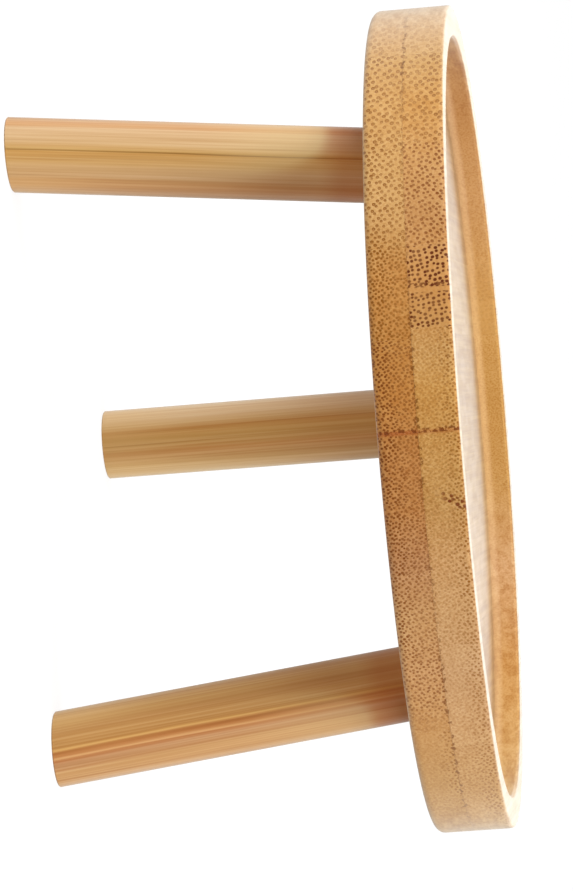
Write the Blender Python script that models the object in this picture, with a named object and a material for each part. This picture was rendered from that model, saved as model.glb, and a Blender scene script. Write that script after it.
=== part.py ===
"""A round bamboo stand: a dished tray, glued up from two plies of strips, on three splayed dowel legs.

Metres, +Z up. The origin is on the table, straight below the tray's centre. The back leg is on +Y, and every
strip of both plies runs along Y, so their end grain shows at the tray's front and back.
"""

from math import cos, pi, radians, sin, tan

import bmesh
import bpy
from mathutils import Matrix, Vector

# Driving dimensions
TRAY_DIAMETER = 0.110
HEIGHT = 0.0576
PLY_THICKNESS = 0.0051
RIM_WIDTH = 0.0043
RECESS_DEPTH = 0.0035
RECESS_FILLET = 0.0012
RIM_ROUNDING = 0.0005
UNDERSIDE_ROUNDING = 0.0010
# The glue joints' places along X. The strips of one ply aren't all of one width.
UPPER_JOINTS = (-0.0468, -0.0347, -0.0217, -0.0115, 0.0011, 0.0144, 0.0277, 0.0410)
LOWER_JOINTS = (-0.0468, -0.0342, -0.0217, -0.0103, 0.0011, 0.0097, 0.0184, 0.0280, 0.0388, 0.0480)
LEG_DIAMETER = 0.0098
LEG_CIRCLE_RADIUS = 0.0388
LEG_SPLAY = radians(7.3)
LEG_ANGLES = {
    "leg_front_left": radians(-150),
    "leg_front_right": radians(-30),
    "leg_back": radians(90),
}
SOCKET_DEPTH = 0.0040
FOOT_ROUNDING = 0.0003
GLUE_GAP = 0.0003

# Facets
TRAY_SEGMENTS = 96
LEG_SEGMENTS = 32
EDGE_STEPS = 3

# Finish
UPPER_COLOUR = (0.62, 0.36, 0.15)
LOWER_COLOUR = (0.55, 0.29, 0.11)
LEG_COLOUR = (0.66, 0.41, 0.18)
TONE_STEP = 0.06
LACQUER_ROUGHNESS = 0.35

# Worked out from the above
TRAY_RADIUS = TRAY_DIAMETER / 2
RECESS_RADIUS = TRAY_RADIUS - RIM_WIDTH
RECESS_FLOOR = HEIGHT - RECESS_DEPTH
SEAM = HEIGHT - PLY_THICKNESS
UNDERSIDE = SEAM - PLY_THICKNESS
LEG_RADIUS = LEG_DIAMETER / 2
SOCKET_RADIUS = LEG_RADIUS + GLUE_GAP
# Cutters reach this far past what they cut.
MARGIN = 0.005


def clear_scene():
    for item in list(bpy.data.objects):
        bpy.data.objects.remove(item, do_unlink=True)


def bamboo(name, colour, tone):
    """Lacquered bamboo, its base colour made lighter or darker by tone."""
    material = bpy.data.materials.new(name)
    material.use_nodes = True
    shader = material.node_tree.nodes["Principled BSDF"]
    shader.inputs["Base Color"].default_value = (*(part * tone for part in colour), 1.0)
    shader.inputs["Roughness"].default_value = LACQUER_ROUGHNESS
    shader.inputs["Metallic"].default_value = 0.0
    return material


def mesh_from(bm, name):
    mesh = bpy.data.meshes.new(name)
    bm.to_mesh(mesh)
    bm.free()
    mesh.shade_smooth()
    mesh.set_sharp_from_angle(angle=radians(30))
    return mesh


def add_object(name, mesh):
    item = bpy.data.objects.new(name, mesh)
    bpy.context.scene.collection.objects.link(item)
    return item


def add_cutter(name, mesh):
    cutter = add_object(name, mesh)
    cutter.hide_render = True
    cutter.display_type = "WIRE"
    return cutter


def add_boolean(item, cutter, operation):
    cut = item.modifiers.new(cutter.name, "BOOLEAN")
    cut.object = cutter
    cut.operation = operation
    cut.solver = "EXACT"


def arc(radius, centre, start, end):
    """Points (radius from the axis, height) along a rounded edge, from one angle in degrees to another."""
    points = []
    for step in range(EDGE_STEPS + 1):
        angle = radians(start + (end - start) * step / EDGE_STEPS)
        points.append((centre[0] + radius * cos(angle), centre[1] + radius * sin(angle)))
    return points


def turned_mesh(name, profile, segments):
    """A solid of revolution about Z. Its profile starts at the upper flat face and ends at the lower one."""
    bm = bmesh.new()
    rings = []
    for radius, height in profile:
        turns = (2 * pi * step / segments for step in range(segments))
        rings.append([bm.verts.new((radius * cos(turn), radius * sin(turn), height)) for turn in turns])
    bm.faces.new(rings[0])
    bm.faces.new(reversed(rings[-1]))
    for ring, following in zip(rings, rings[1:]):
        for step in range(segments):
            after = (step + 1) % segments
            bm.faces.new((ring[step], following[step], following[after], ring[after]))
    return mesh_from(bm, name)


def upper_ply_mesh():
    """From the recess floor up its wall, over the rim and down the tray's side to the seam."""
    wall_foot = (RECESS_RADIUS - RECESS_FILLET, RECESS_FLOOR + RECESS_FILLET)
    inner_edge = (RECESS_RADIUS + RIM_ROUNDING, HEIGHT - RIM_ROUNDING)
    outer_edge = (TRAY_RADIUS - RIM_ROUNDING, HEIGHT - RIM_ROUNDING)
    profile = arc(RECESS_FILLET, wall_foot, -90, 0)
    profile += arc(RIM_ROUNDING, inner_edge, 180, 90)
    profile += arc(RIM_ROUNDING, outer_edge, 90, 0)
    profile.append((TRAY_RADIUS, SEAM + GLUE_GAP / 2))
    return turned_mesh("upper_ply", profile, TRAY_SEGMENTS)


def lower_ply_mesh():
    """From the seam down the tray's side and round its lower edge to the underside."""
    lower_edge = (TRAY_RADIUS - UNDERSIDE_ROUNDING, UNDERSIDE + UNDERSIDE_ROUNDING)
    profile = [(TRAY_RADIUS, SEAM - GLUE_GAP / 2)]
    profile += arc(UNDERSIDE_ROUNDING, lower_edge, 0, -90)
    return turned_mesh("lower_ply", profile, TRAY_SEGMENTS)


def strip_spans(joints):
    """Each strip's low and high X, between the glue gaps, from -X to +X."""
    edges = [-TRAY_RADIUS - MARGIN, *joints, TRAY_RADIUS + MARGIN]
    return [(low + GLUE_GAP / 2, high - GLUE_GAP / 2) for low, high in zip(edges, edges[1:])]


def strip_cutter(name, low, high):
    """A box that cuts one strip out of a ply."""
    size = (high - low, TRAY_DIAMETER + 2 * MARGIN, 2 * PLY_THICKNESS + 2 * MARGIN)
    middle = Vector(((low + high) / 2, 0, SEAM))
    bm = bmesh.new()
    bmesh.ops.create_cube(bm, size=1.0)
    bmesh.ops.scale(bm, vec=size, verts=bm.verts)
    cutter = add_cutter(f"{name}_cutter", mesh_from(bm, "strip_cutter"))
    cutter.location = middle
    return cutter


def leg_frame():
    """The place and tilt of a leg that stands out towards +X: its axis meets the underside at the origin."""
    return Matrix.Translation((LEG_CIRCLE_RADIUS, 0, UNDERSIDE)) @ Matrix.Rotation(-LEG_SPLAY, 4, "Y")


def leg_mesh():
    """A dowel towards +X, square at its upper end and cut level at the table."""
    frame = leg_frame()
    down = frame.to_3x3() @ Vector((0, 0, -1))
    bm = bmesh.new()
    upper, lower = [], []
    for step in range(LEG_SEGMENTS):
        turn = 2 * pi * step / LEG_SEGMENTS
        top = frame @ Vector((LEG_RADIUS * cos(turn), LEG_RADIUS * sin(turn), SOCKET_DEPTH))
        upper.append(bm.verts.new(top))
        lower.append(bm.verts.new(top - down * (top.z / down.z)))
    bm.faces.new(upper)
    bm.faces.new(reversed(lower))
    for step in range(LEG_SEGMENTS):
        after = (step + 1) % LEG_SEGMENTS
        bm.faces.new((upper[step], lower[step], lower[after], upper[after]))
    return mesh_from(bm, "leg")


def socket_mesh():
    """The blind hole for a leg, which starts below the tray's underside."""
    profile = [(SOCKET_RADIUS, SOCKET_DEPTH + GLUE_GAP), (SOCKET_RADIUS, -MARGIN)]
    mesh = turned_mesh("socket", profile, LEG_SEGMENTS)
    mesh.transform(leg_frame())
    return mesh


def add_legs():
    """The three dowels, and a cutter for the socket of each."""
    leg, socket = leg_mesh(), socket_mesh()
    cutters = []
    for count, (name, angle) in enumerate(LEG_ANGLES.items()):
        item = add_object(name, leg.copy())
        item.rotation_euler.z = angle
        item.data.materials.append(bamboo(name, LEG_COLOUR, 1 + TONE_STEP * (count - 1)))
        rounding = item.modifiers.new("end_rounding", "BEVEL")
        rounding.limit_method = "ANGLE"
        rounding.angle_limit = radians(60)
        rounding.width = FOOT_ROUNDING
        rounding.segments = 2
        cutter = add_cutter(f"{name}_socket", socket.copy())
        cutter.rotation_euler.z = angle
        cutters.append((cutter, LEG_CIRCLE_RADIUS * cos(angle)))
    return cutters


def add_ply(prefix, ply, joints, colour, sockets):
    """One ply, strip by strip. A strip is also cut by the sockets that reach it."""
    socket_reach = SOCKET_RADIUS / cos(LEG_SPLAY) + SOCKET_DEPTH * tan(LEG_SPLAY)
    for number, (low, high) in enumerate(strip_spans(joints), start=1):
        name = f"{prefix}_{number:02d}"
        strip = add_object(name, ply.copy())
        strip.data.materials.append(bamboo(name, colour, 1 + TONE_STEP * (number % 3 - 1)))
        add_boolean(strip, strip_cutter(name, low, high), "INTERSECT")
        for socket, middle in sockets:
            if low < middle + socket_reach and high > middle - socket_reach:
                add_boolean(strip, socket, "DIFFERENCE")


clear_scene()
leg_sockets = add_legs()
add_ply("upper_strip", upper_ply_mesh(), UPPER_JOINTS, UPPER_COLOUR, [])
add_ply("lower_strip", lower_ply_mesh(), LOWER_JOINTS, LOWER_COLOUR, leg_sockets)
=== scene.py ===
"""The looks of the round bamboo stand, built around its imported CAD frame. Metres, +Z up, +Y to the back leg.

Each CAD node is replaced by a finer piece in the same place: strips with tight glue joints, rounded edges
and sockets, and smooth dowels with eased ends. The bamboo is a solid texture whose fibres run along each
piece, so one material gives pores on the end grain and streaks on the long grain.
"""

from dataclasses import dataclass
from math import cos, pi, radians, sin, tan

import bmesh
import bpy
from mathutils import Matrix, Vector


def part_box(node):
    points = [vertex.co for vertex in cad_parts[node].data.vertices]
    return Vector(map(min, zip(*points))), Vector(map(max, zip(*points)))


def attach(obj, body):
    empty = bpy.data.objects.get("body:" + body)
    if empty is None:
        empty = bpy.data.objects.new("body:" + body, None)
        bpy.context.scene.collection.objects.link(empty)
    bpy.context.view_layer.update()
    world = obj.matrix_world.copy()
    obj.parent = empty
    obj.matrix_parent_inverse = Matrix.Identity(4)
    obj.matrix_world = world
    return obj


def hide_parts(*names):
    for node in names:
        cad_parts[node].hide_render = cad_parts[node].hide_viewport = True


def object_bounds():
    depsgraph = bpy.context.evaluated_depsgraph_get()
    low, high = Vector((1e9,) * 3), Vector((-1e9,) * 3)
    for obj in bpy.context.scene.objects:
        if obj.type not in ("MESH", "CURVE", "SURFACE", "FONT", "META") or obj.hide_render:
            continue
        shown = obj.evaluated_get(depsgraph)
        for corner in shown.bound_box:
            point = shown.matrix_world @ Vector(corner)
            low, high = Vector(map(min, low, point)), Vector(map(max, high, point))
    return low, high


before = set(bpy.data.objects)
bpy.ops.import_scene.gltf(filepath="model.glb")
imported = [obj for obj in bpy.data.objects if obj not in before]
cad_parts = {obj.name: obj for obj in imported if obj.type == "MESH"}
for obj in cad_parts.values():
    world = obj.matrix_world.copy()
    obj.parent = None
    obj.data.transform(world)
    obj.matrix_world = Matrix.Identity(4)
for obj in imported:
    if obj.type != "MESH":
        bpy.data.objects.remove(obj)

cad_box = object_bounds()

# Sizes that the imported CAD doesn't state as a box
RIM_WIDTH = 0.0043
RECESS_DEPTH = 0.0035
RECESS_FILLET = 0.0012
RIM_ROUNDING = 0.0005
UNDERSIDE_ROUNDING = 0.0010
LEG_SPLAY = radians(7.3)
SOCKET_DEPTH = 0.0040
LEG_ANGLES = {
    "leg_front_left": radians(-150),
    "leg_front_right": radians(-30),
    "leg_back": radians(90),
}

# Fine geometry. SUPPORT is how far a support loop lies from a rounded edge, and MARGIN how far a cutter
# reaches past what it cuts.
GLUE_LINE = 0.000002
SUPPORT = 0.00015
LEG_EASING = 0.00015
SOCKET_CLEARANCE = 0.00005
TRAY_SEGMENTS = 384
LEG_SEGMENTS = 128
LEG_RINGS = 24
EDGE_STEPS = 6
MARGIN = 0.005
SHARP = radians(20)
MM = 0.001

# Worked out from the frame
STRIP_NAMES = sorted(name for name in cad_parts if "strip" in name)
UPPER_NAMES = [name for name in STRIP_NAMES if name.startswith("upper")]
LOWER_NAMES = [name for name in STRIP_NAMES if name.startswith("lower")]
TOP = cad_box[1][2]
TRAY_RADIUS = cad_box[1][0]
UPPER_BOTTOM = min(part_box(name)[0].z for name in UPPER_NAMES)
LOWER_TOP = max(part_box(name)[1].z for name in LOWER_NAMES)
SEAM = (UPPER_BOTTOM + LOWER_TOP) / 2
UNDERSIDE = min(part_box(name)[0].z for name in LOWER_NAMES)
RECESS_RADIUS = TRAY_RADIUS - RIM_WIDTH
RECESS_FLOOR = TOP - RECESS_DEPTH
LEG_RADIUS = (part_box("leg_back")[1].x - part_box("leg_back")[0].x) / 2
LEG_CIRCLE_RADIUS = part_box("leg_back")[1].y - LEG_RADIUS / cos(LEG_SPLAY) - UNDERSIDE * tan(LEG_SPLAY)


# ---------------------------------------------------------------- shapes

def arc(radius, centre, start, end):
    """Points (radius from the axis, height) along a rounded edge, from one angle in degrees to another."""
    points = []
    for step in range(EDGE_STEPS + 1):
        angle = radians(start + (end - start) * step / EDGE_STEPS)
        points.append((centre[0] + radius * cos(angle), centre[1] + radius * sin(angle)))
    return points


def finished_mesh(bm, name):
    mesh = bpy.data.meshes.new(name)
    bm.to_mesh(mesh)
    bm.free()
    mesh.shade_smooth()
    mesh.set_sharp_from_angle(angle=SHARP)
    return mesh


def skin_rings(bm, rings):
    """Closes a stack of rings, from the upper end to the lower one, into one solid."""
    bm.faces.new(rings[0])
    bm.faces.new(reversed(rings[-1]))
    for ring, following in zip(rings, rings[1:]):
        for step in range(len(ring)):
            after = (step + 1) % len(ring)
            bm.faces.new((ring[step], following[step], following[after], ring[after]))


def turned_mesh(name, profile, segments):
    """A solid of revolution about Z. Its profile starts at the upper flat face and ends at the lower one."""
    bm = bmesh.new()
    rings = []
    for radius, height in profile:
        ring = []
        for step in range(segments):
            turn = 2 * pi * step / segments
            ring.append(bm.verts.new((radius * cos(turn), radius * sin(turn), height)))
        rings.append(ring)
    skin_rings(bm, rings)
    return finished_mesh(bm, name)


def add_object(name, mesh):
    item = bpy.data.objects.new(name, mesh)
    bpy.context.scene.collection.objects.link(item)
    return item


def upper_ply_mesh():
    """From the recess floor up its wall, over the rim and down the side to the seam."""
    wall_foot = (RECESS_RADIUS - RECESS_FILLET, RECESS_FLOOR + RECESS_FILLET)
    inner_edge = (RECESS_RADIUS + RIM_ROUNDING, TOP - RIM_ROUNDING)
    outer_edge = (TRAY_RADIUS - RIM_ROUNDING, TOP - RIM_ROUNDING)
    profile = [(wall_foot[0] - SUPPORT, RECESS_FLOOR)]
    profile += arc(RECESS_FILLET, wall_foot, -90, 0)
    profile += arc(RIM_ROUNDING, inner_edge, 180, 90)
    profile += [(inner_edge[0] + SUPPORT, TOP), (outer_edge[0] - SUPPORT, TOP)]
    profile += arc(RIM_ROUNDING, outer_edge, 90, 0)
    profile += [(TRAY_RADIUS, outer_edge[1] - SUPPORT), (TRAY_RADIUS, SEAM + GLUE_LINE / 2)]
    return turned_mesh("upper_ply", profile, TRAY_SEGMENTS)


def lower_ply_mesh():
    """From the seam down the side and round its lower edge to the underside."""
    lower_edge = (TRAY_RADIUS - UNDERSIDE_ROUNDING, UNDERSIDE + UNDERSIDE_ROUNDING)
    profile = [(TRAY_RADIUS, SEAM - GLUE_LINE / 2), (TRAY_RADIUS, lower_edge[1] + SUPPORT)]
    profile += arc(UNDERSIDE_ROUNDING, lower_edge, 0, -90)
    profile += [(lower_edge[0] - SUPPORT, UNDERSIDE)]
    return turned_mesh("lower_ply", profile, TRAY_SEGMENTS)


def leg_frame(angle):
    """The place and tilt of a leg that stands out at this angle. Its axis meets the underside at the origin,
    and its X and Y keep as close to the stand's own as the tilt lets them."""
    place = Vector((LEG_CIRCLE_RADIUS * cos(angle), LEG_CIRCLE_RADIUS * sin(angle), UNDERSIDE))
    hinge = Vector((-sin(angle), cos(angle), 0))
    return Matrix.Translation(place) @ Matrix.Rotation(-LEG_SPLAY, 4, hinge)


def socket_mesh(angle):
    """A cutter for a leg's blind hole, with an eased mouth."""
    radius = LEG_RADIUS + SOCKET_CLEARANCE
    bottom = (radius, SOCKET_DEPTH + SOCKET_CLEARANCE)
    mouth = (radius, -LEG_EASING)
    flare = (radius + MARGIN, -LEG_EASING - MARGIN)
    mesh = turned_mesh("socket", [bottom, mouth, flare], LEG_SEGMENTS)
    mesh.transform(leg_frame(angle))
    return mesh


def leg_outline(placing, radius):
    """A leg's outline at its upper end, and how far each of its points is from the table along the leg."""
    down = placing.to_3x3() @ Vector((0, 0, -1))
    outline = []
    for step in range(LEG_SEGMENTS):
        turn = 2 * pi * step / LEG_SEGMENTS
        point = placing @ Vector((radius * cos(turn), radius * sin(turn), SOCKET_DEPTH))
        outline.append((point, -point.z / down.z))
    return outline


def leg_mesh(angle):
    """A dowel with eased ends, square at the top and cut level at the table."""
    placing = leg_frame(angle)
    down = placing.to_3x3() @ Vector((0, 0, -1))
    narrow = leg_outline(placing, LEG_RADIUS - LEG_EASING)
    full = leg_outline(placing, LEG_RADIUS)
    bm = bmesh.new()
    rings = [[bm.verts.new(point) for point, length in narrow]]
    for step in range(LEG_RINGS + 1):
        share = step / LEG_RINGS
        run = [(point, LEG_EASING + (length - 2 * LEG_EASING) * share) for point, length in full]
        rings.append([bm.verts.new(point + down * distance) for point, distance in run])
    rings.append([bm.verts.new(point + down * length) for point, length in narrow])
    skin_rings(bm, rings)
    return finished_mesh(bm, "dowel")


def strip_range(node, names):
    """A strip's low and high X, out to the glue lines in the middle of the CAD's gaps."""
    low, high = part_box(node)
    position = names.index(node)
    left, right = -TRAY_RADIUS - MARGIN, TRAY_RADIUS + MARGIN
    if position > 0:
        left = (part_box(names[position - 1])[1].x + low.x + GLUE_LINE) / 2
    if position < len(names) - 1:
        right = (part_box(names[position + 1])[0].x + high.x - GLUE_LINE) / 2
    return left, right


def slab_mesh(left, right):
    """A box that cuts one strip out of a ply."""
    size = (right - left, 2 * (TRAY_RADIUS + MARGIN), TOP - UNDERSIDE + 2 * MARGIN)
    bm = bmesh.new()
    bmesh.ops.create_cube(bm, size=1.0)
    bmesh.ops.scale(bm, vec=size, verts=bm.verts)
    bmesh.ops.translate(bm, vec=((left + right) / 2, 0, (TOP + UNDERSIDE) / 2), verts=bm.verts)
    return finished_mesh(bm, "slab")


def cut(piece, cutter_mesh, operation):
    """Applies one Boolean to a piece and removes its cutter."""
    cutter = add_object("cutter", cutter_mesh)
    modifier = piece.modifiers.new("cut", "BOOLEAN")
    modifier.object = cutter
    modifier.operation = operation
    modifier.solver = "EXACT"
    evaluated = piece.evaluated_get(bpy.context.evaluated_depsgraph_get())
    mesh = bpy.data.meshes.new_from_object(evaluated)
    piece.modifiers.clear()
    piece.data = mesh
    mesh.materials.clear()
    bpy.data.objects.remove(cutter)


def stand_for(piece, node):
    """Declares a piece that shows in place of one CAD node."""
    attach(piece, "root")
    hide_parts(node)


def add_strip(node, names, ply):
    """One strip of a ply, with the sockets that reach it."""
    piece = add_object(f"{node}_fine", ply.copy())
    left, right = strip_range(node, names)
    cut(piece, slab_mesh(left, right), "INTERSECT")
    if names is LOWER_NAMES:
        reach = 2 * LEG_RADIUS
        for angle in LEG_ANGLES.values():
            middle = LEG_CIRCLE_RADIUS * cos(angle)
            if left < middle + reach and right > middle - reach:
                cut(piece, socket_mesh(angle), "DIFFERENCE")
    piece.data.shade_smooth()
    piece.data.set_sharp_from_angle(angle=SHARP)
    stand_for(piece, node)
    return piece


def add_leg(node):
    piece = add_object(f"{node}_fine", leg_mesh(LEG_ANGLES[node]))
    stand_for(piece, node)
    return piece


# ---------------------------------------------------------------- bamboo

# How bright the studio light makes an upright white surface, so that tones can be given as they look in it
LIGHT_LEVEL = 1.65

# Tones, as red, green and blue from 0 to 255
PORE_BROWN = (146, 86, 12)
PORE_RED = (130, 66, 2)
PORE_RUST = (134, 70, 8)
PORE_BLACK = (108, 46, 0)
PORE_ROW = (122, 54, 8)
JOINT_RED = (178, 96, 42)
JOINT_SPOT = (118, 54, 2)
SEAM_BROWN = (118, 62, 2)
# Painted highlight at the foot of the recess wall
PAINTED_WALL_FOOT_HIGHLIGHT = (244, 208, 164)
# Painted light and shade on the legs
LEG_FOOT_PAINTED_LIGHT = (236, 192, 128)
LEG_SIDE_PAINTED_LIGHT = (255, 226, 164)
LEG_PAINTED_SHADOW = (200, 96, 30)
LEG_TOP_PAINTED_SHADE = (176, 84, 20)

# A painted sheen, standing for the lacquer's reflection at a low angle: its base colours, and how much of it
# shows where the surface is edge on
PAINTED_SHEEN_PALE = (0.34, 0.31, 0.26, 1.0)
PAINTED_WALL_REFLECTION = (0.30, 0.18, 0.07, 1.0)
PAINTED_SHEEN_SHARE = 0.75
ROUGHNESS = (0.42, 0.52)
STRIP_RELIEF = 0.04 * MM
LEG_RELIEF = 0.03 * MM

# How much darker (above 1) or paler a strip's flat faces are than its end grain
FLAT_SHADES = (0.93, 0.965, 1.0, 1.035, 1.07)

# How much taller than wide a pore is
PORE_TALLNESS = 1.15
# How fast the painted sheen fades as the surface turns to the viewer
PAINTED_SHEEN_FALLOFF = 4.0

# Radii and heights in millimetres, as the materials work in them
WALL = RECESS_RADIUS / MM
FLOOR = RECESS_FLOOR / MM
FILLET_START = (RECESS_RADIUS - RECESS_FILLET) / MM
WALL_MIRROR_REACH = 12.5
JOINT_SPOT_REACHES = (0.15, 0.55)

# Noise scales of the strips' marks, across the strip, along it and up, per millimetre
DRIFT_SCALE = (0.06, 0.025, 0.06)
CLOUD_SCALE = (0.25, 0.03, 0.25)
FIBRE_SCALE = (3.0, 0.05, 2.4)
SPECK_SCALE = (4.5, 0.05, 3.5)
STREAK_SCALE = (1.1, 0.02, 1.1)
BLOTCH_SCALE = (0.9, 0.05, 0.8)
PATCH_SCALE = (0.3, 0.03, 0.3)
CROWD_SCALE = (2.6, 0.04, 2.8)
JOINT_SPOT_SCALE = (2.0, 0.04, 2.3)
SEAM_SPOT_SCALE = (2.1, 0.04, 1.6)
SEAM_PATCH_SCALE = (0.045, 0.01, 0.01)
GLOSS_SCALE = (0.5, 0.1, 0.5)

# Noise scales of the legs' marks, across the leg, through it and along it, per millimetre
LEG_BEND_SCALE = (0.08, 0.08, 0.03)
LEG_BROAD_SCALE = (1.0, 1.0, 0.02)
LEG_FINE_SCALE = (4.0, 4.0, 0.03)
LEG_LINE_SCALE = (2.4, 2.4, 0.025)
LEG_GLOSS_SCALE = (0.5, 0.5, 0.1)

# Seeds of the marks that go on from one strip to the next
SEAM_SPOT_SEED = 40
SEAM_PATCH_SEED = 41
JOINT_SPOT_SEED = 45
BLOTCH_SEED = 50


@dataclass(frozen=True)
class Pores:
    """Ends of fibre bundles, in slanted rows."""
    # In millimetres
    pitch: float = 0.7
    # How far the rows are turned, in degrees
    turn: float = 35
    # A pore's radius, as a share of the pitch
    size: float = 0.34
    # How pale its middle is
    ring: float = 0.0
    # How far the pores stray from their rows
    mess: float = 0.6


@dataclass(frozen=True)
class StripLook(Pores):
    """How one strip looks. Positions are X in millimetres."""
    pore: tuple = PORE_BROWN
    # How dark the pores are at the ply's lower and upper face
    strength: tuple = (0.5, 0.5)
    # From which to which share of the ply's height that changes
    rise: tuple = (0.2, 0.8)
    # How strong the fine specks between the pores are
    specks: float = 0.6
    # How much the glue joints on the strip's -X and +X side stain it
    joints: tuple = (0.0, 0.0)
    # A pore-free band: its middle, and how far from there it is clear and where the pores are whole again
    band: tuple = None
    # Where pores run together
    crowd: float = None
    # A dark row of pores: its foot, and how far it slants over the ply's height
    row: tuple = None
    # From where to where the pores thin out
    fade: tuple = None


ROW_PORES = Pores(pitch=0.7, turn=25, size=0.38, mess=0.5)
LEG_PORES = Pores(pitch=0.6, turn=30, size=0.34, ring=0.3)


def tone(red, green, blue):
    """The base colour that looks like these 8-bit screen values in the studio light."""
    def linear(value):
        """The sRGB curve."""
        share = value / 255
        return share / 12.92 if share <= 0.04045 else ((share + 0.055) / 1.055) ** 2.4
    return (linear(red) / LIGHT_LEVEL, linear(green) / LIGHT_LEVEL, linear(blue) / LIGHT_LEVEL, 1.0)


class Graph:
    """Short forms for one material's nodes. Where a value is asked for, a socket does as well."""

    def __init__(self, name):
        self.material = bpy.data.materials.new(name)
        self.material.use_nodes = True
        self.tree = self.material.node_tree
        self.shader = self.tree.nodes["Principled BSDF"]

    def feed(self, socket, value):
        if isinstance(value, bpy.types.NodeSocket):
            self.tree.links.new(value, socket)
        else:
            socket.default_value = value

    def math(self, operation, *values):
        node = self.tree.nodes.new("ShaderNodeMath")
        node.operation = operation
        for socket, value in zip(node.inputs, values):
            self.feed(socket, value)
        return node.outputs[0]

    def add(self, first, second):
        return self.math("ADD", first, second)

    def times(self, *values):
        product = values[0]
        for value in values[1:]:
            product = self.math("MULTIPLY", product, value)
        return product

    def scaled(self, value, factor, offset):
        return self.math("MULTIPLY_ADD", value, factor, offset)

    def rest(self, share):
        """What a share leaves of the whole."""
        return self.math("SUBTRACT", 1.0, share)

    def gap(self, value, target):
        """How far a value is from its target."""
        return self.math("ABSOLUTE", self.math("SUBTRACT", value, target))

    def ramp(self, value, start, end, low=0.0, high=1.0):
        """Goes smoothly from low to high while the value goes from start to end."""
        node = self.tree.nodes.new("ShaderNodeMapRange")
        node.interpolation_type = "SMOOTHSTEP"
        for socket, given in zip(node.inputs, (value, start, end, low, high)):
            self.feed(socket, given)
        return node.outputs[0]

    def between(self, share, low, high):
        """Low where the share is 0, and high where it is 1."""
        return self.ramp(share, 0.0, 1.0, low, high)

    def spread(self, noise, low, high, edge=0.25):
        """Goes from low to high over noise's usual values, from the edge to as far above the middle."""
        return self.ramp(noise, edge, 1 - edge, low, high)

    def split(self, vector):
        node = self.tree.nodes.new("ShaderNodeSeparateXYZ")
        self.feed(node.inputs[0], vector)
        return tuple(node.outputs)

    def join(self, x, y, z=0.0):
        node = self.tree.nodes.new("ShaderNodeCombineXYZ")
        for socket, value in zip(node.inputs, (x, y, z)):
            self.feed(socket, value)
        return node.outputs[0]

    def vector(self, operation, first, second):
        node = self.tree.nodes.new("ShaderNodeVectorMath")
        node.operation = operation
        self.feed(node.inputs[0], first)
        self.feed(node.inputs[1], second)
        return node.outputs["Value"] if operation == "DISTANCE" else node.outputs["Vector"]

    def mapped(self, vector, kind, location=(0, 0, 0), rotation=(0, 0, 0), scale=(1, 1, 1)):
        node = self.tree.nodes.new("ShaderNodeMapping")
        node.vector_type = kind
        for socket, value in zip(node.inputs, (vector, location, rotation, scale)):
            self.feed(socket, value)
        return node.outputs[0]

    def noise(self, vector, scale, seed, detail=2.0):
        """Noise from 0 to 1, mostly near 0.5, with its own scale per axis."""
        node = self.tree.nodes.new("ShaderNodeTexNoise")
        node.inputs["Scale"].default_value = 1.0
        node.inputs["Detail"].default_value = detail
        shift = (seed * 7.3, seed * 3.1, seed * 5.7)
        self.feed(node.inputs["Vector"], self.mapped(vector, "POINT", shift, scale=scale))
        return node.outputs["Fac"]

    def mix(self, share, first, second):
        node = self.tree.nodes.new("ShaderNodeMix")
        node.data_type = "RGBA"
        self.feed(node.inputs[0], share)
        self.feed(node.inputs[6], first)
        self.feed(node.inputs[7], second)
        return node.outputs[2]

    def deepen(self, colour, power):
        """Above 1, makes a colour darker and richer, as dark streaks are; below 1, paler."""
        node = self.tree.nodes.new("ShaderNodeGamma")
        self.feed(node.inputs["Color"], colour)
        self.feed(node.inputs["Gamma"], power)
        return node.outputs[0]

    def tones(self, value, stops):
        """The tone that belongs to a value, between stops of (value, red, green, blue)."""
        node = self.tree.nodes.new("ShaderNodeValToRGB")
        first, last = stops[0][0], stops[-1][0]
        elements = node.color_ramp.elements
        while len(elements) < len(stops):
            elements.new(0.5)
        for element, (position, *look) in zip(elements, stops):
            element.position = (position - first) / (last - first)
            element.color = tone(*look)
        scale = 1 / (last - first)
        self.feed(node.inputs[0], self.scaled(value, scale, -first * scale))
        return node.outputs[0]

    def millimetres(self):
        """The place on the stand in millimetres, and the direction that the surface faces."""
        node = self.tree.nodes.new("ShaderNodeTexCoord")
        place = self.vector("MULTIPLY", node.outputs["Object"], (1 / MM, 1 / MM, 1 / MM))
        return place, node.outputs["Normal"]

    def grazing(self):
        """0 where the surface faces the viewer, up to 1 where it is seen edge on."""
        weight = self.tree.nodes.new("ShaderNodeLayerWeight")
        return self.math("POWER", weight.outputs["Facing"], PAINTED_SHEEN_FALLOFF)

    def pores(self, across, up, look, seed):
        """How much of a pore shows at each point, from 0 to 1."""
        flat = self.join(self.times(across, PORE_TALLNESS), up)
        shift = (seed * 3.7, seed * 1.9, 0)
        place = self.mapped(flat, "TEXTURE", shift, (0, 0, radians(look.turn)), (look.pitch, look.pitch, 1))
        cells = self.tree.nodes.new("ShaderNodeTexVoronoi")
        cells.voronoi_dimensions = "2D"
        cells.inputs["Scale"].default_value = 1.0
        cells.inputs["Randomness"].default_value = look.mess
        self.feed(cells.inputs["Vector"], place)
        chance = self.split(cells.outputs["Color"])
        reach = self.scaled(chance[0], 0.35 * look.size, 0.95 * look.size)
        body = self.ramp(cells.outputs["Distance"], reach, self.times(reach, 0.6))
        offset = self.vector("SUBTRACT", place, cells.outputs["Position"])
        heart = self.vector("DISTANCE", offset, (0.15 * look.size, -0.1 * look.size, 0))
        hollow = self.ramp(heart, 0.75 * look.size, 0.25 * look.size, 0.0, look.ring)
        return self.times(body, self.rest(hollow), self.scaled(chance[1], 0.3, 0.7))

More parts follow.
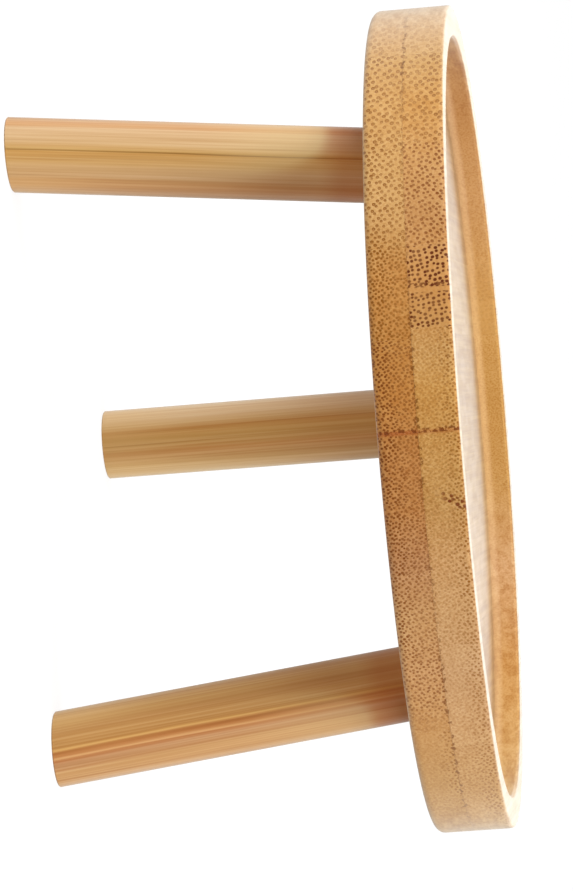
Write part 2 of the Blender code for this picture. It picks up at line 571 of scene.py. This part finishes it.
    def finish(self, colour, roughness, height, depth, painted_sheen=PAINTED_SHEEN_PALE):
        """Feeds the lacquered bamboo shader, with a painted sheen mixed into the base colour where the surface
        is seen edge on. Depth is the relief in metres that the height stands for.
        """
        bump = self.tree.nodes.new("ShaderNodeBump")
        bump.inputs["Strength"].default_value = 1.0
        bump.inputs["Distance"].default_value = depth
        self.feed(bump.inputs["Height"], height)
        # Painted sheen: a pale colour mixed into the base colour at a low angle, in place of a reflection
        colour = self.mix(self.times(self.grazing(), PAINTED_SHEEN_SHARE), colour, painted_sheen)
        self.feed(self.shader.inputs["Base Color"], colour)
        self.feed(self.shader.inputs["Roughness"], roughness)
        self.feed(self.shader.inputs["Normal"], bump.outputs[0])
        self.shader.inputs["Specular IOR Level"].default_value = 0.1
        self.shader.inputs["Coat Weight"].default_value = 0.05
        self.shader.inputs["Coat Roughness"].default_value = 0.3
        return self.material


class StripGraph(Graph):
    """The material of a strip, with what its layers share. Its fibres run along Y, so its end grain is where
    it faces the front or the back."""

    def __init__(self, name, bottom, top, seed):
        super().__init__(name)
        self.seed = seed
        self.place, normal = self.millimetres()
        self.across, along, self.up = self.split(self.place)
        self.height_share = self.scaled(self.up, MM / (top - bottom), -bottom / (top - bottom))
        facing = self.split(normal)
        self.end_grain = self.ramp(self.math("ABSOLUTE", facing[1]), 0.1, 0.6)
        self.level = self.ramp(facing[2], 0.5, 0.95)

        self.radius = self.vector("DISTANCE", self.join(self.across, along), (0, 0, 0))
        within_wall = self.ramp(self.radius, WALL + 0.4, WALL + 0.1)
        self.inside = self.times(within_wall, self.ramp(self.up, FLOOR - 0.6, FLOOR - 0.2))
        self.outside = self.rest(self.inside)

        # Bundles drift as they run along the strip.
        drift = self.math("SUBTRACT", self.noise(self.place, DRIFT_SCALE, seed), 0.5)
        self.wandering = self.scaled(drift, 2.5, self.across)
        self.fibre = self.spread(self.noise(self.place, FIBRE_SCALE, seed + 3), 1.04, 0.96)
        # Pores show most on the end grain, and hardly inside the recess, where the lacquer has filled them.
        self.shown = self.times(self.between(self.end_grain, 0.25, 1.0), self.between(self.inside, 1.0, 0.1))

    def ground(self, tones, specks, flat_shade):
        """The wood between the pores: its tones, which finer layers make darker or paler."""
        cloud = self.spread(self.noise(self.place, CLOUD_SCALE, self.seed + 2), 1.04, 0.96)
        speck = self.noise(self.place, SPECK_SCALE, self.seed + 4, 1.0)
        speck = self.times(speck, self.between(self.inside, 1.0, 0.9))
        speck = self.ramp(speck, 0.35, 0.65, 1 - 0.1 * specks, 1 + 0.14 * specks)
        shade = self.between(self.end_grain, flat_shade, 1.0)
        streak = self.spread(self.noise(self.place, STREAK_SCALE, self.seed + 5), 1.2, 0.86, edge=0.3)
        streak = self.between(self.end_grain, streak, 1.0)

        # Painted shade and painted sheen on level faces: the recess floor is darker and richer, and the rim is
        # paler at a low angle.
        painted_rim_sheen = self.times(self.grazing(), self.outside, -0.8)
        painted_level_shade_and_sheen = self.add(1.0, self.times(self.level, self.scaled(self.inside, 0.14, painted_rim_sheen)))

        # Filled pores leave soft blotches, mostly on the recess's +X side.
        blotch = self.ramp(self.noise(self.place, BLOTCH_SCALE, BLOTCH_SEED), 0.4, 0.65)
        blotch = self.times(blotch, self.ramp(self.across, 4, 24), self.inside)
        blotch = self.scaled(blotch, 0.2, 1.0)

        own = self.tones(self.wandering, tones)
        colour = self.mix(self.inside, own, self.tones(self.across, RECESS_TONES))
        colour = self.deepen(colour, self.times(cloud, self.fibre, speck, shade, painted_level_shade_and_sheen, streak, blotch))

        # A painted highlight makes the foot of the recess wall a little paler.
        low = self.ramp(self.up, FLOOR + 1.5, FLOOR + 0.1)
        near_wall = self.ramp(self.radius, WALL - 2.5, WALL - 0.8)
        return self.mix(self.times(low, near_wall, self.inside, 0.3), colour, tone(*PAINTED_WALL_FOOT_HIGHLIGHT))

    def strip_pores(self, look):
        """How much of the pores' colour shows at each point."""
        dark = self.ramp(self.height_share, *look.rise, *look.strength)
        patch = self.ramp(self.noise(self.place, PATCH_SCALE, self.seed + 1), 0.3, 0.6, 0.8, 1.0)
        dark = self.times(dark, patch)
        if look.band:
            middle, clear, whole = look.band
            dark = self.times(dark, self.ramp(self.gap(self.across, middle), clear, whole))
        if look.fade:
            dark = self.times(dark, self.ramp(self.across, *look.fade, 1.0, 0.3))
        return self.times(self.pores(self.wandering, self.up, look, self.seed), dark, self.shown)

    def pore_crowd(self, colour, middle, pore):
        """Adds a narrow column of pores that run together."""
        near = self.ramp(self.gap(self.across, middle), 0.35, 0.15)
        spots = self.ramp(self.noise(self.place, CROWD_SCALE, self.seed + 7, 1.0), 0.47, 0.55)
        return self.mix(self.times(near, spots, self.shown, 0.8), colour, tone(*pore))

    def pore_row(self, colour, foot, slant):
        """Adds a slanting row of dark pores, which starts above the ply's lower face."""
        near = self.ramp(self.gap(self.across, self.scaled(self.height_share, slant, foot)), 0.85, 0.5)
        weight = self.times(near, self.ramp(self.height_share, 0.2, 0.6), self.shown)
        dots = self.times(self.pores(self.across, self.up, ROW_PORES, self.seed + 5), weight)
        return self.mix(dots, colour, tone(*PORE_ROW))

    def joint_stain(self, colour, joint, strength, spot_reach):
        """Adds what a glue joint beside the strip stains, most where pores meet it."""
        distance = self.gap(self.across, joint)
        shown = self.times(self.outside, self.between(self.end_grain, 0.3, 1.0))
        halo = self.times(self.ramp(distance, 0.45, 0.05), shown, 0.75 * strength)
        colour = self.mix(halo, colour, tone(*JOINT_RED))
        spots = self.noise(self.place, JOINT_SPOT_SCALE, JOINT_SPOT_SEED, 1.0)
        spots = self.ramp(spots, 0.43, 0.54, 0.0, 0.85)
        near = self.ramp(distance, spot_reach, 0.6 * spot_reach)
        return self.mix(self.times(near, spots, shown), colour, tone(*JOINT_SPOT))

    def seam_stain(self, colour):
        """Adds the seam between the plies: a fine line with spots on it, darker in some stretches."""
        distance = self.gap(self.up, SEAM / MM)
        spots = self.noise(self.place, SEAM_SPOT_SCALE, SEAM_SPOT_SEED, 1.0)
        spots = self.ramp(self.scaled(distance, -0.4, spots), 0.47, 0.55)
        spots = self.times(spots, self.ramp(distance, 0.42, 0.28))
        line = self.ramp(distance, 0.12, 0.02, 0.0, 0.4)
        stretch = self.ramp(self.noise(self.place, SEAM_PATCH_SCALE, SEAM_PATCH_SEED), 0.42, 0.55, 0.35, 0.75)
        stain = self.times(self.math("MAXIMUM", spots, line), stretch, self.end_grain)
        return self.mix(stain, colour, tone(*SEAM_BROWN))

    def painted_sheen(self):
        """Painted reflection in the base colour: at a low angle the lacquer mirrors the surroundings, which
        next to the recess wall are the wall.
        """
        beside_wall = self.ramp(self.radius, FILLET_START - WALL_MIRROR_REACH, FILLET_START, 0.0, 0.75)
        return self.mix(self.times(beside_wall, self.inside, self.level), PAINTED_SHEEN_PALE, PAINTED_WALL_REFLECTION)


def strip_material(name, number, look, tones, edges, bottom, top):
    """The bamboo of one strip, between its edges in X and its ply's lower and upper face. The number makes
    its noise and its flat faces' shade its own."""
    graph = StripGraph(name, bottom, top, 10 * number)
    ground = graph.ground(tones, look.specks, FLAT_SHADES[3 * number % len(FLAT_SHADES)])
    dots = graph.strip_pores(look)
    colour = graph.mix(dots, ground, tone(*look.pore))
    if look.crowd:
        colour = graph.pore_crowd(colour, look.crowd, look.pore)
    if look.row:
        colour = graph.pore_row(colour, *look.row)
    for edge, strength, spot_reach in zip(edges, look.joints, JOINT_SPOT_REACHES):
        if strength:
            colour = graph.joint_stain(colour, edge / MM, strength, spot_reach)
    colour = graph.seam_stain(colour)

    roughness = graph.spread(graph.noise(graph.place, GLOSS_SCALE, graph.seed + 6), *ROUGHNESS, edge=0.3)
    relief = graph.math("SUBTRACT", graph.times(graph.fibre, -2.0), dots)
    relief = graph.times(relief, graph.between(graph.inside, 1.0, 0.3))
    return graph.finish(colour, roughness, relief, STRIP_RELIEF, graph.painted_sheen())


# The end grain's ground tones along X, in millimetres. The pale stop at the −X end is partly a painted
# highlight.
UPPER_TONES = (
    (-55, 231, 191, 146), (-46, 216, 168, 102), (-40, 214, 158, 86), (-32, 210, 156, 93),
    (-25, 203, 148, 88), (-18, 211, 153, 87), (-13, 203, 146, 80), (-9, 208, 158, 93),
    (-4, 208, 154, 82), (4, 201, 149, 81), (10, 198, 149, 85), (17, 206, 157, 101),
    (24, 206, 160, 107), (31, 202, 157, 108), (38, 202, 156, 104), (46, 198, 152, 94),
    (55, 204, 158, 96),
)
LOWER_TONES = (
    (-55, 231, 191, 146), (-46, 217, 168, 102), (-40, 215, 163, 95), (-32, 215, 166, 101),
    (-25, 213, 163, 99), (-22, 206, 152, 86), (-18, 203, 142, 73), (-10, 197, 136, 67),
    (-4, 200, 137, 67), (4, 192, 130, 68), (10, 192, 132, 72), (17, 192, 138, 89),
    (24, 202, 153, 98), (31, 201, 150, 96), (38, 194, 143, 84), (46, 192, 146, 86),
    (55, 204, 158, 94),
)
# The recess floor's and wall's. The darker −X end is partly painted shade, and the paler +X side partly
# painted light.
RECESS_TONES = (
    (-50, 186, 128, 66), (-30, 212, 158, 94), (-15, 222, 171, 98), (-3, 211, 158, 84),
    (10, 214, 163, 92), (22, 230, 182, 128), (35, 221, 165, 92), (50, 234, 188, 118),
)

STRIP_LOOKS = {
    "upper_strip_01": StripLook(pitch=0.84, size=0.33, ring=0.4),
    "upper_strip_02": StripLook(pitch=0.8, size=0.33, ring=0.45, mess=0.5, strength=(0.75, 0.95)),
    "upper_strip_03": StripLook(pitch=0.66, size=0.31, ring=0.2, strength=(0.9, 1.1), pore=(136, 70, 8)),
    "upper_strip_04": StripLook(pitch=0.64, turn=6, pore=PORE_BLACK, strength=(1.1, 1.3), specks=0.3,
                                band=(-16.2, 0.2, 0.4), crowd=-16.85),
    "upper_strip_05": StripLook(pitch=0.5, strength=(0.42, 1.0), rise=(0.4, 1.0), specks=0.8,
                                joints=(0, 0.6)),
    "upper_strip_06": StripLook(pitch=0.5, strength=(0.4, 1.0), rise=(0.4, 1.0), specks=0.8,
                                joints=(0.6, 0), row=(7.5, 3.1)),
    "upper_strip_07": StripLook(pitch=0.54, strength=(0.45, 0.95), rise=(0.35, 0.9), specks=0.7),
    "upper_strip_08": StripLook(pitch=0.52, strength=(0.35, 0.8), rise=(0.4, 0.85)),
    "upper_strip_09": StripLook(pitch=0.52, strength=(0.4, 0.9), rise=(0.3, 0.9)),
    "lower_strip_01": StripLook(pitch=0.82, size=0.33, ring=0.4, strength=(0.6, 0.5)),
    "lower_strip_02": StripLook(pitch=0.78, size=0.33, ring=0.45, mess=0.5, strength=(1.15, 0.85)),
    "lower_strip_03": StripLook(pitch=0.68, size=0.32, ring=0.4, mess=0.5, strength=(1.2, 0.9)),
    "lower_strip_04": StripLook(pitch=0.5, size=0.37, strength=(1.15, 0.8)),
    "lower_strip_05": StripLook(pitch=0.48, size=0.37, pore=PORE_RED, strength=(1.15, 0.7), joints=(0, 1.0)),
    "lower_strip_06": StripLook(pitch=0.48, size=0.37, pore=PORE_RED, strength=(1.15, 0.75), joints=(1.0, 0)),
    "lower_strip_07": StripLook(pitch=0.48, size=0.37, pore=PORE_RED, strength=(1.1, 0.8)),
    "lower_strip_08": StripLook(pitch=0.53, size=0.35, pore=PORE_RUST, strength=(1.0, 0.7)),
    "lower_strip_09": StripLook(pitch=0.54, pore=PORE_RUST, strength=(0.85, 0.85), fade=(34.5, 38.8)),
    "lower_strip_10": StripLook(pitch=0.54, strength=(0.18, 0.8), rise=(0.45, 1.0), specks=0.5),
    "lower_strip_11": StripLook(pitch=0.6, strength=(0.25, 0.35)),
}

# Tones across each dowel, from its -X side (0) to its +X side (1)
LEG_TONES = {
    "leg_front_left": (
        (0.00, 212, 164, 114), (0.06, 219, 167, 114), (0.10, 215, 161, 106), (0.15, 223, 184, 137),
        (0.34, 221, 180, 127), (0.40, 219, 174, 111), (0.435, 210, 164, 96), (0.450, 158, 112, 52),
        (0.465, 218, 168, 98), (0.60, 222, 176, 112), (0.68, 226, 184, 130), (0.78, 222, 179, 127),
        (0.83, 208, 155, 97), (0.90, 218, 166, 110), (1.00, 220, 176, 130),
    ),
    "leg_back": (
        (0.00, 230, 196, 152), (0.16, 230, 194, 146), (0.26, 227, 186, 127), (0.34, 213, 158, 88),
        (0.44, 216, 167, 94), (0.56, 218, 170, 101), (0.65, 210, 152, 86), (0.73, 216, 168, 106),
        (0.84, 220, 180, 120), (1.00, 222, 188, 136),
    ),
    "leg_front_right": (
        (0.00, 206, 160, 102), (0.14, 210, 162, 98), (0.26, 202, 148, 86), (0.34, 212, 160, 96),
        (0.45, 196, 140, 76), (0.48, 228, 174, 100), (0.51, 184, 118, 60), (0.56, 202, 136, 78),
        (0.59, 224, 168, 108), (0.62, 194, 128, 76), (0.68, 204, 154, 106), (0.74, 196, 142, 90),
        (0.78, 208, 160, 104), (0.90, 202, 152, 96), (1.00, 198, 152, 102),
    ),
}
# How much painted light makes each leg paler on its outer side, below the tray's painted shadow
LEG_PAINTED_LIGHT_SHARES = {"leg_front_left": 0.36, "leg_back": 0.2, "leg_front_right": 0.16}
LEG_SEEDS = {"leg_front_left": 180, "leg_front_right": 183, "leg_back": 186}

# Where the tray's painted shadow on a leg begins, in millimetres below the underside on its outer side. The
# inner side adds the slope, and more softness.
TRAY_SHADOW_DEPTH = 6.5
TRAY_SHADOW_SLOPE = 10.0
TRAY_SHADOW_SOFTNESS = 5.0


def leg_painted_shading(graph, colour, along, outward, painted_light):
    """Paints light and shade on a leg: the tray's shadow, warm and darker near the tray, painted light below
    that on its outer side, and painted light at the foot of its inner side. Along is the height in millimetres
    above the tray's underside."""
    # 0 on the leg's outer side, 1 on its axis and 2 on its inner side
    inner = graph.scaled(outward, -MM / LEG_RADIUS, 1.0)
    # Painted shadow of the tray, which reaches further down and more softly on the inner side
    square = graph.times(inner, inner)
    height = graph.add(graph.scaled(square, TRAY_SHADOW_SLOPE, along), TRAY_SHADOW_DEPTH)
    in_tray_shadow = graph.ramp(graph.math("DIVIDE", height, graph.scaled(square, TRAY_SHADOW_SOFTNESS, 1.0)), -1.0, 1.0)
    tray_shadow_share = graph.times(in_tray_shadow, graph.ramp(along, -24.0, -10.0, 0.06, 0.16))
    # Painted light on the outer side, below the painted shadow
    side = graph.times(graph.ramp(along, -26.0, -9.0), graph.ramp(inner, 1.2, 0.2), graph.rest(in_tray_shadow))
    # Painted light at the foot of the inner side
    foot = graph.times(graph.ramp(along, -32.0, -46.0), graph.ramp(inner, 0.8, 1.4))
    colour = graph.mix(graph.times(foot, 0.3), colour, tone(*LEG_FOOT_PAINTED_LIGHT))
    colour = graph.mix(graph.times(side, painted_light), colour, tone(*LEG_SIDE_PAINTED_LIGHT))
    colour = graph.mix(tray_shadow_share, colour, tone(*LEG_PAINTED_SHADOW))
    # Painted shade: darker just below the tray
    return graph.mix(graph.ramp(along, -8.0, -4.0, 0.0, 0.4), colour, tone(*LEG_TOP_PAINTED_SHADE))


def dowel_material(name, seed, angle, tones, painted_light):
    """Bamboo whose fibres run along the leg, in layers that lie across its X."""
    graph = Graph(name)
    place, normal = graph.millimetres()
    placing = leg_frame(angle)
    tilt = placing.to_euler()
    local = graph.mapped(place, "TEXTURE", placing.translation / MM, tilt)
    facing = graph.split(graph.mapped(normal, "TEXTURE", rotation=tilt))
    across, through, along = graph.split(local)
    outward = graph.add(graph.times(across, cos(angle)), graph.times(through, sin(angle)))
    end_grain = graph.ramp(graph.math("ABSOLUTE", facing[2]), 0.5, 0.9)

    bend = graph.math("SUBTRACT", graph.noise(local, LEG_BEND_SCALE, seed), 0.5)
    share = graph.scaled(graph.scaled(bend, 0.6, across), MM / (2 * LEG_RADIUS), 0.5)
    broad = graph.spread(graph.noise(local, LEG_BROAD_SCALE, seed + 1), 1.08, 0.93)
    fine = graph.spread(graph.noise(local, LEG_FINE_SCALE, seed + 2), 1.11, 0.92)
    colour = graph.deepen(graph.tones(share, tones), graph.times(broad, fine))
    # Painted light and shade from the tray, in the base colour
    colour = leg_painted_shading(graph, colour, along, outward, painted_light)

    line = graph.ramp(graph.noise(local, LEG_LINE_SCALE, seed + 3, 1.0), 0.64, 0.74, 0.0, 0.16)
    dots = graph.times(graph.pores(across, through, LEG_PORES, seed), end_grain, 0.8)
    colour = graph.mix(graph.math("MAXIMUM", line, dots), colour, tone(*PORE_BROWN))

    roughness = graph.spread(graph.noise(local, LEG_GLOSS_SCALE, seed + 4), *ROUGHNESS, edge=0.3)
    relief = graph.math("SUBTRACT", graph.times(fine, -1.5), dots)
    return graph.finish(colour, roughness, relief, LEG_RELIEF)


def add_strips():
    for names, ply, slot, tones, bottom, top in (
        (UPPER_NAMES, upper_ply_mesh(), "upper_bamboo", UPPER_TONES, SEAM, TOP),
        (LOWER_NAMES, lower_ply_mesh(), "lower_bamboo", LOWER_TONES, UNDERSIDE, SEAM),
    ):
        for number, node in enumerate(names, start=len(names)):
            piece = add_strip(node, names, ply)
            edges = strip_range(node, names)
            material = strip_material(piece.name, number, STRIP_LOOKS[node], tones, edges, bottom, top)
            piece.data.materials.append(material)


def add_legs():
    for node, angle in LEG_ANGLES.items():
        piece = add_leg(node)
        material = dowel_material(piece.name, LEG_SEEDS[node], angle, LEG_TONES[node], LEG_PAINTED_LIGHT_SHARES[node])
        piece.data.materials.append(material)


# ---------------------------------------------------------------- studio

# Camera: its place, the direction it looks in and its roll, which lays the stand on its side in the picture
CAMERA_PLACE = Vector((-0.0020, -0.6036, 0.0926))
CAMERA_YAW = radians(-0.363)
CAMERA_PITCH = radians(-5.855)
CAMERA_ROLL = radians(85.54)
CAMERA_LENS = 182.4
CAMERA_SENSOR = 36.0
CAMERA_CLIP_START = 0.01

FLOOR_SIZE = 6.0
FLOOR_GREY = (0.15, 0.15, 0.15, 1.0)
FLOOR_GLOW = (1.0, 1.0, 1.0, 1.0)
FLOOR_GLOW_STRENGTH = 0.85

# The surround's brightness, from in front of the stand (0) over its sides (0.5) to behind it (1)
SURROUND = ((0.0, 0.3), (0.5, 0.9), (0.8, 1.35), (1.0, 2.3))

# Each softbox's place and power
SOFTBOX_SIZE = (0.7, 0.5)
SOFTBOXES = {
    "left_softbox": ((-0.80, -0.25, 0.44), 7.5),
    "right_softbox": ((0.80, -0.25, 0.44), 7.5),
    "front_softbox": ((0.0, -0.70, 0.70), 5.0),
}


def add_camera():
    data = bpy.data.cameras.new("camera")
    data.lens = CAMERA_LENS
    data.sensor_width = CAMERA_SENSOR
    data.clip_start = CAMERA_CLIP_START
    camera = add_object("camera", data)
    turn = Matrix.Rotation(CAMERA_YAW, 4, "Z") @ Matrix.Rotation(pi / 2 + CAMERA_PITCH, 4, "X")
    camera.matrix_world = Matrix.Translation(CAMERA_PLACE) @ turn @ Matrix.Rotation(CAMERA_ROLL, 4, "Z")
    bpy.context.scene.camera = camera


def floor_material():
    """Pale and evenly lit. From below it is clear, so that the stand's underside can be seen."""
    material = bpy.data.materials.new("floor")
    material.use_nodes = True
    tree = material.node_tree
    shader = tree.nodes["Principled BSDF"]
    shader.inputs["Base Color"].default_value = FLOOR_GREY
    shader.inputs["Roughness"].default_value = 0.9
    shader.inputs["Specular IOR Level"].default_value = 0.0
    shader.inputs["Emission Color"].default_value = FLOOR_GLOW
    shader.inputs["Emission Strength"].default_value = FLOOR_GLOW_STRENGTH
    clear = tree.nodes.new("ShaderNodeBsdfTransparent")
    side = tree.nodes.new("ShaderNodeNewGeometry")
    choice = tree.nodes.new("ShaderNodeMixShader")
    tree.links.new(side.outputs["Backfacing"], choice.inputs["Fac"])
    tree.links.new(shader.outputs["BSDF"], choice.inputs[1])
    tree.links.new(clear.outputs["BSDF"], choice.inputs[2])
    tree.links.new(choice.outputs[0], tree.nodes["Material Output"].inputs["Surface"])
    return material


def add_floor():
    bm = bmesh.new()
    bmesh.ops.create_grid(bm, x_segments=1, y_segments=1, size=FLOOR_SIZE)
    floor = add_object("floor", finished_mesh(bm, "floor"))
    floor.data.materials.append(floor_material())


def add_surround():
    """A world that is brighter behind the stand than in front of it."""
    world = bpy.data.worlds.new("studio")
    world.use_nodes = True
    tree = world.node_tree
    direction = tree.nodes.new("ShaderNodeTexCoord")
    parts = tree.nodes.new("ShaderNodeSeparateXYZ")
    share = tree.nodes.new("ShaderNodeMapRange")
    level = tree.nodes.new("ShaderNodeValToRGB")
    share.inputs["From Min"].default_value = -1.0
    stops = level.color_ramp.elements
    while len(stops) < len(SURROUND):
        stops.new(0.5)
    for stop, (position, brightness) in zip(stops, SURROUND):
        stop.position = position
        stop.color = (brightness, brightness, brightness, 1.0)
    tree.links.new(direction.outputs["Generated"], parts.inputs[0])
    tree.links.new(parts.outputs["Y"], share.inputs["Value"])
    tree.links.new(share.outputs[0], level.inputs[0])
    tree.links.new(level.outputs[0], tree.nodes["Background"].inputs["Color"])
    bpy.context.scene.world = world


def add_softboxes():
    """Soft lights that face the middle of the stand."""
    for name, (place, power) in SOFTBOXES.items():
        data = bpy.data.lights.new(name, "AREA")
        data.shape = "RECTANGLE"
        data.size, data.size_y = SOFTBOX_SIZE
        data.energy = power
        light = add_object(name, data)
        light.location = place
        aim = Vector((0, 0, UNDERSIDE)) - Vector(place)
        light.rotation_euler = aim.to_track_quat("-Z", "Y").to_euler()


add_camera()
add_floor()
add_surround()
add_softboxes()
add_strips()
add_legs()
bpy.context.scene.view_settings.view_transform = "Standard"
